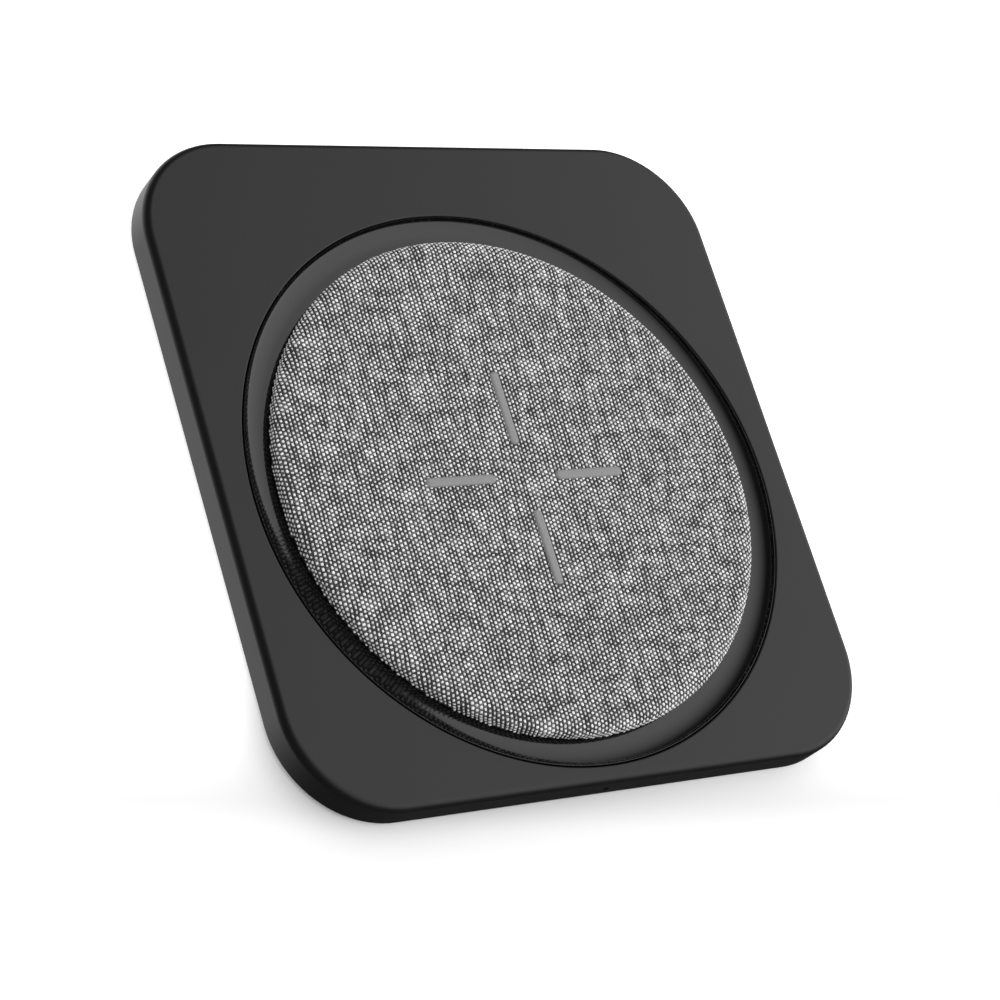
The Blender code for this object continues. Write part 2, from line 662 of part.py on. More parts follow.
def make_board_parts(black, ceramic, pale, silver):
    """The controller, the coil's bridge and its capacitors, and the supply parts by the port."""
    soldered("controller_ic", *CONTROLLER, black)
    soldered("bridge_ic", *BRIDGE, black)
    first_x, along, size = RESONANCE_CAPACITOR
    for i in range(4):
        x = first_x + RESONANCE_CAPACITOR_PITCH * i
        soldered(f"resonance_capacitor_{i + 1}", x, along, size, ceramic)
    soldered("supply_inductor", *SUPPLY_INDUCTOR, silver)
    for i, row in enumerate(INPUT_CAPACITOR_ROWS):
        soldered(f"input_capacitor_{i + 1}", INPUT_CAPACITOR[0], row, INPUT_CAPACITOR[1], ceramic)
    soldered("ribbon_socket", *RIBBON_SOCKET, pale)


# ---- The status light ----


def make_status_light(clear, board, lamp, pale):
    """A side light behind the wall: light pipe, lamp and its own small board."""
    wall = -PAD_LENGTH / 2 + SIDE_WALL
    nose = -PAD_LENGTH / 2 + LIGHT_SETBACK
    body = wall + GAP
    body_width, body_length, body_height = LIGHT_PIPE_BODY
    circle = arc((0, 0), (LIGHT_PIPE_RADIUS, LIGHT_PIPE_RADIUS), 0, 330, 11)
    tray = round_rectangle(body_width / 2, body_height / 2, body_height * 0.375, 2)
    rows = ((nose, circle), (body, circle), (body, tray), (body + body_length, tray))
    loft("light_pipe", [[(x, y, LIGHT_RISE + z) for x, z in loop] for y, loop in rows], clear)
    front = body + body_length + GAP
    back = front - LED_OVERHANG + LED_BOARD[1]
    base = COVER_TOP + GAP
    top = base + LED_BOARD[2]
    half = LED_BOARD[0] / 2
    block("led_board", (-half, front - LED_OVERHANG, base), (half, back, top), board)
    width, depth, height = STATUS_LED
    lamp_base = top + SOLDER_GAP
    high = (width / 2, front + depth, lamp_base + height)
    block("status_led", (-width / 2, front, lamp_base), high, lamp)
    make_led_ribbon((-half - GAP, back - RIBBON_WIDTH / 2), pale)


def ribbon_route(start):
    """From the light's board, round the ferrite and up over the front edge of the main board."""
    low, over = COVER_TOP + GAP, BOARD_TOP + GAP + RIBBON_WALL
    side = -FERRITE_SIDE / 2 - RIBBON_CLEAR_OF_FERRITE
    socket = RIBBON_SOCKET[0]
    points = [(*start, low), (side * 0.45, start[1] + 1.6, low), (side * 0.86, start[1] + 12.0, low)]
    points += [(side, DISC_OFFSET + y, low) for y in (-15.0, 5.0, 25.0)]
    points += [((side + socket) / 2, BOARD_FRONT - 7.0, low), (socket, BOARD_FRONT - 3.5, low)]
    points += [(socket, BOARD_FRONT - 1.0, (low + over) / 2), (socket, BOARD_FRONT, over)]
    return smooth_route([*points, (socket, BOARD_FRONT + 3.0, over)], 4)


def make_led_ribbon(start, finish):
    """The flat cable from the light's board to its socket on the main board."""
    route = ribbon_route(start)
    loops = []
    for i, spot in enumerate(route):
        ahead = route[min(i + 1, len(route) - 1)] - route[max(i - 1, 0)]
        side = Vector((ahead.y, -ahead.x, 0)).normalized() * RIBBON_WIDTH / 2
        up = side.cross(ahead).normalized() * RIBBON_WALL
        up = up if up.z >= 0 else -up
        loops.append([spot - side, spot + side, spot + side + up, spot - side + up])
    return loft("led_ribbon", loops, finish)


# ---- The whole pad ----


def build():
    clear_scene()
    matte = material("matte_shell", (0.045, 0.045, 0.046), 0.5)
    gloss = material("gloss_black", (0.006, 0.006, 0.006), 0.08)
    cloth = material("grey_fabric", (0.25, 0.25, 0.25), 0.9)
    silicone = material("grey_silicone", (0.28, 0.28, 0.28), 0.6)
    rubber = material("black_rubber", (0.02, 0.02, 0.02), 0.8)
    moulding = material("inner_moulding", (0.03, 0.03, 0.03), 0.6)
    steel = material("zinc_steel", (0.6, 0.6, 0.6), 0.35, 1.0)
    copper = material("copper_litz", (0.72, 0.33, 0.16), 0.35, 1.0)
    ferrite = material("ferrite", (0.05, 0.05, 0.055), 0.45)
    foam = material("foam", (0.06, 0.06, 0.06), 0.95)
    laminate = material("board_laminate", (0.01, 0.09, 0.03), 0.4)
    epoxy = material("chip_epoxy", (0.015, 0.015, 0.015), 0.5)
    ceramic = material("ceramic", (0.42, 0.28, 0.17), 0.4)
    pale = material("pale_plastic", (0.75, 0.74, 0.68), 0.5)
    clear = material("clear_pipe", (0.85, 0.87, 0.88), 0.15)

    make_top_shell(matte)
    make_bottom_cover(matte)
    make_feet(rubber)
    make_cover_screws(steel)
    make_gloss_ring(gloss)
    make_disc_carrier(moulding)
    make_fabric_cover(cloth)
    make_grip_bars(silicone)
    make_coil(copper)
    make_ferrite(ferrite)
    make_foam_pad(foam)
    make_thermistor(epoxy)
    make_coil_leads(copper)
    make_main_board(laminate)
    make_board_screws(steel)
    make_port(steel, epoxy)
    make_board_parts(epoxy, ceramic, pale, steel)
    make_status_light(clear, laminate, pale, pale)


build()
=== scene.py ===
# %% [markdown]
# # How a wireless charging pad looks
# The solid parts of the pad come from its CAD model, which this lesson loads as a frame and never moves.
# Each step then gives a part its finish, or builds a finer skin over a part whose CAD shape is only a plain
# stand-in: the moulded body, the polished groove, the woven cloth, the grip bars and the feet.

import json
import math

import bmesh
import bpy
from mathutils import Matrix, Vector


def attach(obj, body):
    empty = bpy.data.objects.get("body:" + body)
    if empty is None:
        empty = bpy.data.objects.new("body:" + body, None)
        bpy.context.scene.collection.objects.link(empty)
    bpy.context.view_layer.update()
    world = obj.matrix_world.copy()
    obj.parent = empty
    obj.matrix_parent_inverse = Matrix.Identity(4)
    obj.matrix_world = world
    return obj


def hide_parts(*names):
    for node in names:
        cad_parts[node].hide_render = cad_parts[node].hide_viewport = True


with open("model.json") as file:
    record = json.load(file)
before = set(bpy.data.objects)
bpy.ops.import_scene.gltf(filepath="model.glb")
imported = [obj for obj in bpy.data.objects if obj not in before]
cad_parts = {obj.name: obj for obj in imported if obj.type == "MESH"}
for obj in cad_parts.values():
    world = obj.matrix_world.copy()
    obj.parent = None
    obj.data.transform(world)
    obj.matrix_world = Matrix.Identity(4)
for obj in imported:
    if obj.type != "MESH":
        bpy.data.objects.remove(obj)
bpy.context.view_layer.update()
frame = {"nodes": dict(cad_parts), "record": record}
MM = 0.001

# %% [markdown]
# ## The sizes that the skins share
# They are the CAD model's own sizes, in millimetres, above the surface that the pad stands on. Only the cloth
# is a little higher and wider than its plain CAD solid, because woven cloth has a thickness of its own.

# %% Sizes
HALF_WIDTH, HALF_LENGTH = 50.0, 52.5
CORNER = 16.0
BASE, TOP = 0.5, 6.0
DISC_Y = -5.15
DISC_RADIUS = 40.06
CLOTH_LEVEL = 7.12
print("body height:", TOP - BASE, "mm, disc across:", 2 * DISC_RADIUS, "mm")

# %% [markdown]
# ## The view
# A long lens from above the left corner, turned about its own axis, so that the pad seems to stand on its
# front corner. The camera looks at a spot near the middle of the plate.

# %% Camera
CAMERA_PLACE = Vector((-228.85, -139.97, 313.96)) * MM
CAMERA_TARGET = Vector((-4.84, -8.03, 6.0)) * MM
CAMERA_ROLL = 48.414
LENS = 99.42

lens = bpy.data.cameras.new("view")
lens.lens = LENS
lens.sensor_width = 36.0
lens.clip_start, lens.clip_end = 0.01, 50.0
camera = bpy.data.objects.new("view", lens)
bpy.context.scene.collection.objects.link(camera)
facing = (CAMERA_TARGET - CAMERA_PLACE).to_track_quat("-Z", "Y").to_matrix()
roll = Matrix.Rotation(math.radians(CAMERA_ROLL), 3, "Z")
camera.matrix_world = Matrix.Translation(CAMERA_PLACE) @ (facing @ roll).to_4x4()
bpy.context.scene.camera = camera
bpy.context.scene.view_settings.view_transform = "Standard"
print("camera:", round((CAMERA_TARGET - CAMERA_PLACE).length / MM), "mm from the plate")

# %% [markdown]
# ## Two small tools
# Every finish below is a tree of nodes. One function adds a node with its settings and what feeds it, and
# another turns an ordinary hex colour into the linear values that a shader works with.


# %% Tools for node trees
def add(tree, kind, feeds=None, **settings):
    """Adds a node. feeds gives each input, by its name or number, a value or another node's output."""
    made = tree.nodes.new(kind)
    for name, value in settings.items():
        setattr(made, name, value)
    for key, value in (feeds or {}).items():
        if isinstance(value, bpy.types.NodeSocket):
            tree.links.new(value, made.inputs[key])
        else:
            made.inputs[key].default_value = value
    return made


def linear(code):
    """An sRGB hex colour as linear red, green and blue, with full alpha."""
    parts = [int(code[i : i + 2], 16) / 255 for i in (1, 3, 5)]
    return (*[c / 12.92 if c <= 0.04045 else ((c + 0.055) / 1.055) ** 2.4 for c in parts], 1.0)


print("mid grey #808080 is", round(linear("#808080")[0], 3), "in linear light")

# %% [markdown]
# ## The studio
# A black glossy groove shows whatever stands round it, so the light is shaped like a real product studio:
# one broad white sweep to the right of the pad and above it, a second low one to the left, and a dark room
# behind the camera. Cloth and floor get a more even light, as from a big tent.

# %% Studio light
WHITE_SWEEP = (338.6, 34.0, 0.24, 0.90, 1.65)
SWEEP_FOOT = (90.0, 53.0, -0.5, 0.25, 1.0)
LOW_SWEEP = (115.0, -45.0, 0.48, 1.0, 1.3)
ROOM = 0.06
TENT = (338.6, 34.0, 0.0, 0.95, 0.95)
TENT_FLOOR_LIGHT = 0.74

world = bpy.data.worlds.new("studio")
world.use_nodes = True
bpy.context.scene.world = world
tree = world.node_tree
background = tree.nodes["Background"]
sky = add(tree, "ShaderNodeTexCoord").outputs["Generated"]


def sweep(azimuth, elevation, fades_out, full, brightness):
    """A soft round patch of light in one direction; fades_out and full are cosines of the angle from it."""
    a, e = math.radians(azimuth), math.radians(elevation)
    towards = (math.cos(e) * math.cos(a), math.cos(e) * math.sin(a), math.sin(e))
    along = add(tree, "ShaderNodeVectorMath", {0: sky, 1: towards}, operation="DOT_PRODUCT")
    feeds = {"Value": along.outputs["Value"], "From Min": fades_out, "From Max": full, "To Max": brightness}
    return add(tree, "ShaderNodeMapRange", feeds, interpolation_type="SMOOTHSTEP").outputs[0]


shiny = add(tree, "ShaderNodeMath", {0: sweep(*WHITE_SWEEP), 1: sweep(*SWEEP_FOOT)}, operation="MULTIPLY")
shiny = add(tree, "ShaderNodeMath", {0: shiny.outputs[0], 1: sweep(*LOW_SWEEP)}, operation="ADD")
shiny = add(tree, "ShaderNodeMath", {0: shiny.outputs[0], 1: ROOM}, operation="ADD").outputs[0]
even = add(tree, "ShaderNodeMath", {0: sweep(*TENT), 1: TENT_FLOOR_LIGHT}, operation="ADD").outputs[0]
path = add(tree, "ShaderNodeLightPath")
lit = add(tree, "ShaderNodeMix", {0: path.outputs["Is Glossy Ray"], 2: even, 3: shiny}).outputs[0]
seen = add(tree, "ShaderNodeMix", {0: path.outputs["Is Camera Ray"], 2: lit, 3: 1.0}).outputs[0]
background.inputs["Color"].default_value = (1.0, 1.0, 1.0, 1.0)
tree.links.new(seen, background.inputs["Strength"])
print("studio: white sweep towards", WHITE_SWEEP[0], "degrees, low sweep towards", LOW_SWEEP[0], "degrees")

# %% [markdown]
# ## The floor
# White paint, matt, with a faint mottle. It carries a painted shadow: the paint is a little darker in a
# narrow band under the pad's front edge. From there a painted glow, emission in the paint, lifts it away from
# the viewer until it is lost in the white behind it, standing in for the light on a lit paper sweep. Both are
# measured in metres along one direction, from the middle of the pad.

# %% Floor
FLOOR_REACH = 3.0
FLOOR_DROP = 0.02 * MM
AWAY = (0.125, 0.992, 0.0)
PAINT_TONE = (0.93, 0.95)
# The band of painted shadow and its tone, then where the painted glow starts and where it is full.
PAINTED_SHADOW_BAND = (-0.035, -0.052, -0.058)
PAINTED_SHADOW_TONE = 0.86
PAINTED_GLOW_NEAR, PAINTED_GLOW_FAR = (-0.058, 0.0), (-0.026, 0.65)

bpy.ops.mesh.primitive_plane_add(size=2 * FLOOR_REACH, location=(0, 0, -FLOOR_DROP))
floor = bpy.context.object
floor.name = "floor"
floor.visible_glossy = False
paint = bpy.data.materials.new("matt_white_paint")
paint.use_nodes = True
shader = paint.node_tree.nodes["Principled BSDF"]
tree = paint.node_tree
place = add(tree, "ShaderNodeTexCoord").outputs["Object"]
mottle = add(tree, "ShaderNodeTexNoise", {"Vector": place, "Scale": 30.0}).outputs[0]
feeds = {"Value": mottle, "To Min": PAINT_TONE[0], "To Max": PAINT_TONE[1]}
tone = add(tree, "ShaderNodeMapRange", feeds).outputs[0]
line = add(tree, "ShaderNodeVectorMath", {0: place, 1: AWAY}, operation="DOT_PRODUCT")
depth = line.outputs["Value"]
# The painted shadow: the paint is darker in a narrow band under the pad's front edge.
feeds = {"Value": depth, "From Min": PAINTED_SHADOW_BAND[1], "From Max": PAINTED_SHADOW_BAND[0]}
behind = add(tree, "ShaderNodeMapRange", feeds, interpolation_type="SMOOTHSTEP").outputs[0]
feeds = {"Value": depth, "From Min": PAINTED_SHADOW_BAND[1], "From Max": PAINTED_SHADOW_BAND[2]}
before = add(tree, "ShaderNodeMapRange", feeds, interpolation_type="SMOOTHSTEP").outputs[0]
light = add(tree, "ShaderNodeMath", {0: behind, 1: before}, operation="MAXIMUM").outputs[0]
light = add(tree, "ShaderNodeMapRange", {0: light, "To Min": PAINTED_SHADOW_TONE, "To Max": 1.0}).outputs[0]
tone = add(tree, "ShaderNodeMath", {0: tone, 1: light}, operation="MULTIPLY").outputs[0]
tree.links.new(tone, shader.inputs["Base Color"])
shader.inputs["Roughness"].default_value = 1.0
shader.inputs["Specular IOR Level"].default_value = 0.0
shader.inputs["Emission Color"].default_value = (1.0, 1.0, 1.0, 1.0)
# The painted glow: emission in the paint, none near the pad and rising away from the viewer.
feeds = {"Value": depth, "From Min": PAINTED_GLOW_NEAR[0], "From Max": PAINTED_GLOW_FAR[0]}
feeds |= {"To Min": PAINTED_GLOW_NEAR[1], "To Max": PAINTED_GLOW_FAR[1]}
floor_painted_glow = add(tree, "ShaderNodeMapRange", feeds, interpolation_type="SMOOTHSTEP").outputs[0]
tree.links.new(floor_painted_glow, shader.inputs["Emission Strength"])
floor.data.materials.append(paint)
print("floor:", 2 * FLOOR_REACH, "m square")

# %% [markdown]
# ## Tools for shapes
# Most of the pad is either turned about the disc's upright axis or wrapped round the body's outline, so two
# functions make those skins. A third settles a finished piece: it rides on the pad's body and stands for the
# CAD nodes that it covers, which it hides.


# %% Shape tools
def arc(centre, radii, start, end, steps):
    """Points along an elliptical arc between two angles in degrees."""
    turns = [math.radians(start + (end - start) * i / steps) for i in range(steps + 1)]
    return [(centre[0] + radii[0] * math.cos(t), centre[1] + radii[1] * math.sin(t)) for t in turns]


def outline(inset, steps=24):
    """The pad's outline moved inwards, as a rectangle with round corners."""
    points, radius = [], CORNER - inset
    for quarter, (side_x, side_y) in enumerate(((1, 1), (-1, 1), (-1, -1), (1, -1))):
        centre = (side_x * (HALF_WIDTH - CORNER), side_y * (HALF_LENGTH - CORNER))
        points += arc(centre, (radius, radius), 90 * quarter, 90 * quarter + 90, steps)
    return points


def circle(radius, steps=256):
    """A circle about the disc's middle."""
    return [(x, y + DISC_Y) for x, y in arc((0, 0), (radius, radius), 0, 360 - 360 / steps, steps - 1)]


def band(bm, loops):
    """Joins a row of loops that have the same number of points, and gives back its rows of vertices."""
    rows = [[bm.verts.new(Vector(point) * MM) for point in loop] for loop in loops]
    for low, high in zip(rows, rows[1:]):
        for i in range(len(low)):
            bm.faces.new((low[i], low[i - 1], high[i - 1], high[i]))
    return rows


def finished_object(name, bm, sharp=35.0):
    """A smooth object from a mesh under construction; edges sharper than the angle stay crisp."""
    bmesh.ops.remove_doubles(bm, verts=bm.verts, dist=0.00001 * MM)
    bmesh.ops.recalc_face_normals(bm, faces=bm.faces)
    mesh = bpy.data.meshes.new(name)
    bm.to_mesh(mesh)
    bm.free()
    mesh.shade_smooth()
    mesh.set_sharp_from_angle(angle=math.radians(sharp))
    made = bpy.data.objects.new(name, mesh)
    bpy.context.scene.collection.objects.link(made)
    return made


def turned(name, profile, steps=256):
    """Turns a closed (radius, height) profile about the disc's axis."""
    bm = bmesh.new()
    closed = [*profile, profile[0]]
    band(bm, [[(x, y, z) for x, y in circle(max(r, 0.001), steps)] for r, z in closed])
    return finished_object(name, bm)


def plain_mesh(item):
    """Turns what an object's modifiers make into a plain mesh of its own, and removes them."""
    made = bpy.data.meshes.new_from_object(item.evaluated_get(bpy.context.evaluated_depsgraph_get()))
    item.modifiers.clear()
    item.data = made
    item.data.name = item.name
    return item


def settle(item, nodes, finish=None):
    """Finishes a piece: its material, the body it rides on and the nodes it stands for."""
    if finish:
        item.data.materials.clear()
        item.data.materials.append(finish)
    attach(item, "root")
    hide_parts(*nodes)
    item.data.calc_loop_triangles()
    print(item.name + ":", len(item.data.loop_triangles), "triangles")
    return item


# %% [markdown]
# ## Matte moulded ABS
# The body is injection-moulded ABS from a tool with a spark-eroded texture. The texture scatters the
# highlight, so black plastic looks dark grey and even, and only the rounded edges show the light turning.
# The real grain is about 0.1 mm; it is drawn at 0.35 mm and very shallow, or it would not show at all.

# %% Matte ABS
matte = bpy.data.materials.new("matte_moulded_abs")
matte.use_nodes = True
tree = matte.node_tree
shader = tree.nodes["Principled BSDF"]
place = add(tree, "ShaderNodeTexCoord").outputs["Object"]
grain = add(tree, "ShaderNodeTexNoise", {"Vector": place, "Scale": 1 / (0.35 * MM), "Detail": 3.0}).outputs[0]
cloud = add(tree, "ShaderNodeTexNoise", {"Vector": place, "Scale": 1 / (30 * MM), "Detail": 2.0}).outputs[0]
feeds = {0: cloud, "From Min": 0.3, "From Max": 0.7, "To Min": 0.36, "To Max": 0.40}
tree.links.new(add(tree, "ShaderNodeMapRange", feeds).outputs[0], shader.inputs["Roughness"])
ramp = add(tree, "ShaderNodeValToRGB", {0: grain})
ramp.color_ramp.elements[0].color = linear("#0d0d0d")
ramp.color_ramp.elements[1].color = linear("#121212")
tree.links.new(ramp.outputs[0], shader.inputs["Base Color"])
bump = add(tree, "ShaderNodeBump", {"Height": grain, "Strength": 0.25, "Distance": 0.01 * MM})
tree.links.new(bump.outputs[0], shader.inputs["Normal"])
shader.inputs["IOR"].default_value = 1.5
shader.inputs["Specular IOR Level"].default_value = 0.38
print("made", matte.name)

# %% [markdown]
# ## The body's skin
# A thin shell: a rounded edge below, a straight side, a larger rounded edge above, and a flat plate with a
# round hole whose lip is just broken. Wrapping loops round the outline keeps the edges exact, and filling
# the plate between two loops keeps it truly flat. The light's pinhole and the port's slot are cut after.

# %% Body skin
TOP_EDGE, BOTTOM_EDGE, WALL = 1.15, 0.6, 1.6
RECESS, LIP = 44.85, 0.3
CEILING, COLLAR_FOOT, COLLAR = 5.0, 3.5, 45.7
LIGHT_RISE, LIGHT_HOLE = 2.8, 0.6
PORT_LEVEL, PORT_HALF = 3.25, (4.77, 1.88)

bm = bmesh.new()
side = [(WALL, CEILING), (WALL, BASE)]
side += arc((BOTTOM_EDGE, BASE + BOTTOM_EDGE), (BOTTOM_EDGE, BOTTOM_EDGE), 270, 180, 8)
side += arc((TOP_EDGE, TOP - TOP_EDGE), (TOP_EDGE, TOP_EDGE), 180, 90, 16)
skin = band(bm, [[(x, y, z) for x, y in outline(inset)] for inset, z in side])
hole = [(RECESS + LIP, TOP), *arc((RECESS + LIP, TOP - LIP), (LIP, LIP), 90, 180, 6)[1:]]
hole += [(RECESS, COLLAR_FOOT), (COLLAR, COLLAR_FOOT), (COLLAR, CEILING)]
well = band(bm, [[(x, y, z) for x, y in circle(r)] for r, z in hole])
for rows in ((skin[-1], well[0]), (skin[0], well[-1])):
    rims = [bm.edges.get((row[i], row[i - 1])) for row in rows for i in range(len(row))]
    bmesh.ops.triangle_fill(bm, edges=rims, use_beauty=True)
body = finished_object("body_shell", bm)
print("body skin:", len(body.data.polygons), "faces")

# %% Openings in the skin
CUT_BEYOND = 1.0
PINHOLE_PAST_WALL, SLOT_PAST_WALL = 0.03, 0.4


def cutter(name, shape, start, end):
    """A prism along Y that cuts a hole through a side wall."""
    bm = bmesh.new()
    rows = band(bm, [[(x, y, z) for x, z in shape] for y in (start, end)])
    for row in rows:
        bm.faces.new(row)
    return finished_object(name, bm)


pinhole = arc((0, LIGHT_RISE), (LIGHT_HOLE, LIGHT_HOLE), 0, 345, 23)
slot_end = PORT_HALF[0] - PORT_HALF[1]
slot_shape = arc((slot_end, PORT_LEVEL), (PORT_HALF[1],) * 2, -90, 90, 16)
slot_shape += arc((-slot_end, PORT_LEVEL), (PORT_HALF[1],) * 2, 90, 270, 16)
inside = WALL + PINHOLE_PAST_WALL - HALF_LENGTH
tools = [cutter("pinhole_tool", pinhole, -HALF_LENGTH - CUT_BEYOND, inside)]
inside = HALF_LENGTH - WALL - SLOT_PAST_WALL
tools.append(cutter("port_tool", slot_shape, inside, HALF_LENGTH + CUT_BEYOND))
for tool in tools:
    cut = body.modifiers.new(tool.name, "BOOLEAN")
    cut.operation, cut.solver, cut.object = "DIFFERENCE", "EXACT", tool
even_normals = body.modifiers.new("even_normals", "WEIGHTED_NORMAL")
even_normals.keep_sharp = True
plain_mesh(body)
for tool in tools:
    bpy.data.objects.remove(tool)
settle(body, ["top_shell"], matte)

# %% [markdown]
# ## The polished groove
# A separate ring of black ABS from a mirror-polished tool. Its floor is flat and its outer side sweeps up
# to the plate in a quarter of an ellipse, so it works as a curved mirror: the flat shows the white sweep,
# and the curve shows the cloth's side and the dark room. Faint wear in the polish keeps it from looking
# like glass.

# %% Polished groove
RING_INNER, COVE_START, WALL_START, RING_OUTER = 38.7, 41.27, 44.25, 44.7
COVE = (3.68, 1.655)
GROOVE_FLOOR, RING_FOOT, RIM = 4.345, 3.55, 0.1
WALL_STEPS, WALL_LEAN = 8, 0.44

gloss = bpy.data.materials.new("polished_black_abs")
gloss.use_nodes = True
tree = gloss.node_tree
shader = tree.nodes["Principled BSDF"]
place = add(tree, "ShaderNodeTexCoord").outputs["Object"]
haze = add(tree, "ShaderNodeTexNoise", {"Vector": place, "Scale": 1 / (6 * MM), "Detail": 4.0}).outputs[0]
feeds = {0: haze, "From Min": 0.35, "From Max": 0.7, "To Min": 0.035, "To Max": 0.06}
tree.links.new(add(tree, "ShaderNodeMapRange", feeds).outputs[0], shader.inputs["Roughness"])
ramp = add(tree, "ShaderNodeValToRGB", {0: haze})
ramp.color_ramp.elements[0].color = linear("#0b0b0b")
ramp.color_ramp.elements[1].color = linear("#101010")
tree.links.new(ramp.outputs[0], shader.inputs["Base Color"])
shader.inputs["IOR"].default_value = 1.5

steepest = math.degrees(math.asin((WALL_START - COVE_START) / COVE[0]))
cove = arc((COVE_START, GROOVE_FLOOR + COVE[1]), COVE, 270, 270 + steepest, 24)
wall_foot, wall_rise = cove[-1][1], TOP - RIM - cove[-1][1]
for step in range(1, WALL_STEPS + 1):
    s = step / WALL_STEPS
    out = (RING_OUTER - RIM - WALL_START) * (1 - (1 - s) ** 2)
    rise = wall_rise * (WALL_LEAN * s + (1 - WALL_LEAN) * s * s)
    cove.append((WALL_START + out, wall_foot + rise))
rim = arc((RING_OUTER - RIM, TOP - RIM), (RIM, RIM), 90, 0, 5)
profile = [(RING_INNER, RING_FOOT), (RING_INNER, GROOVE_FLOOR), *cove, *rim, (RING_OUTER, RING_FOOT)]
ring = turned("polished_groove", profile, 320)
settle(ring, ["gloss_ring"], gloss)

# %% [markdown]
# ## The cloth's ground
# The disc is covered with a plain-woven cloth, stretched over a hard puck and glued under its edge. The
# cloth itself is one sheet: flat on top, round over the shoulder, down the side and turned in below. It is
# built from its own profile, because cloth pulled tight over a hard form takes exactly that form. The yarns
# are laid on it next.

# %% Cloth ground
SHOULDER = (2.0, 1.20)
SIDE_FOOT, TURN_IN = 4.47, 1.0
CUT_ACROSS = 0.090

shoulder = arc((DISC_RADIUS - SHOULDER[0], CLOTH_LEVEL - SHOULDER[1]), SHOULDER, 90, 0, 14)
drape = [(0.0, CLOTH_LEVEL), *shoulder, (DISC_RADIUS, SIDE_FOOT), (DISC_RADIUS - TURN_IN, SIDE_FOOT)]
bm = bmesh.new()
flat_rings = [(r, CLOTH_LEVEL) for r in (0.02, 6.0, 14.0, 22.0, 30.0)]
band(bm, [[(x, y, z) for x, y in circle(r, 192)] for r, z in [*flat_rings, *drape[1:]]])
bmesh.ops.remove_doubles(bm, verts=bm.verts, dist=0.00001 * MM)
inner = [e for e in bm.edges if e.is_boundary and e.verts[0].co.z > 7 * MM]
bmesh.ops.holes_fill(bm, edges=inner, sides=0)
ground = finished_object("cloth_ground", bm)
print("cloth ground: profile of", len(drape), "points")

# %% Ground finish
# Dark spun yarn packed tight by the loom, painted darker still as the shade in the gaps: what shows between
# the floats, and the cloth's turned-in edge.
dark_cloth = bpy.data.materials.new("woven_polyester_shadow")
dark_cloth.use_nodes = True
tree = dark_cloth.node_tree
shader = tree.nodes["Principled BSDF"]
place = add(tree, "ShaderNodeTexCoord").outputs["Object"]
fibre = add(tree, "ShaderNodeTexNoise", {"Vector": place, "Scale": 1 / (0.12 * MM), "Detail": 2.0}).outputs[0]
ramp = add(tree, "ShaderNodeValToRGB", {0: fibre})
# Dark yarn with painted shade: a tone below that of the dark weft floats.
ramp.color_ramp.elements[0].color = linear("#202020")
ramp.color_ramp.elements[1].color = linear("#3c3c3c")
tree.links.new(ramp.outputs[0], shader.inputs["Base Color"])
bump = add(tree, "ShaderNodeBump", {"Height": fibre, "Strength": 0.5, "Distance": 0.04 * MM})
tree.links.new(bump.outputs[0], shader.inputs["Normal"])
shader.inputs["Roughness"].default_value = 0.95
shader.inputs["Specular IOR Level"].default_value = 0.2

# %% [markdown]
# ## The yarns
# In a plain weave every warp yarn goes over one weft yarn and under the next, and its neighbours do the
# opposite. What shows of a yarn is a row of short floats, small domes in a chequerboard. Thousands of
# copies of one small dome are a job for Geometry Nodes: a grid of crossings, every second column moved by
# one pick, each crossing carried over the shoulder by sampling the cloth's profile at its distance from the
# middle, and a dome set on it along the cloth's normal. The warp is pale and the weft is dark.

# %% One float of yarn
WARP_PITCH, WEFT_PITCH = 0.64, 0.358
CORNER_CUT, CAP_SHARE, FLOAT_FOOT = 0.55, 0.58, -0.03


def float_of_yarn(name, half_across, half_along, height):
    """A pillow with eight corners and a flat cap, long in Y. It is small: it is copied thousands of times."""
    bm = bmesh.new()
    cut = CORNER_CUT
    corners = [(1, -cut), (1, cut), (cut, 1), (-cut, 1), (-1, cut), (-1, -cut), (-cut, -1), (cut, -1)]
    rim = [bm.verts.new(Vector((x * half_across, y * half_along, FLOAT_FOOT)) * MM) for x, y in corners]
    cap = []
    cap_x, cap_y = half_across * CAP_SHARE, half_along * CAP_SHARE
    for x, y in ((1, -1), (1, 1), (-1, 1), (-1, -1)):
        cap.append(bm.verts.new(Vector((x * cap_x, y * cap_y, height)) * MM))
    for side in range(4):
        start, end = rim[2 * side], rim[2 * side + 1]
        bm.faces.new((start, end, cap[(side + 1) % 4], cap[side]))
        bm.faces.new((end, rim[(2 * side + 2) % 8], cap[(side + 1) % 4]))
    bm.faces.new(cap)
    mesh = bpy.data.meshes.new(name)
    bm.to_mesh(mesh)
    bm.free()
    mesh.shade_smooth()
    made = bpy.data.objects.new(name, mesh)
    bpy.context.scene.collection.objects.link(made)
    return made


# Half the width, half the length and the height of each kind of float, in millimetres.
WARP_FLOAT, WEFT_FLOAT = (0.198, 0.232, 0.12), (0.34, 0.18, 0.07)

warp_float = float_of_yarn("warp_float", *WARP_FLOAT)
weft_float = float_of_yarn("weft_float", *WEFT_FLOAT)
bm = bmesh.new()
spots = [bm.verts.new((r * MM, 0.0, z * MM)) for r, z in drape[:-1]]
for a, b in zip(spots, spots[1:]):
    bm.edges.new((a, b))
profile_mesh = bpy.data.meshes.new("drape_profile")
bm.to_mesh(profile_mesh)
bm.free()
drape_profile = bpy.data.objects.new("drape_profile", profile_mesh)
bpy.context.scene.collection.objects.link(drape_profile)
print("one float has", len(warp_float.data.polygons), "faces")

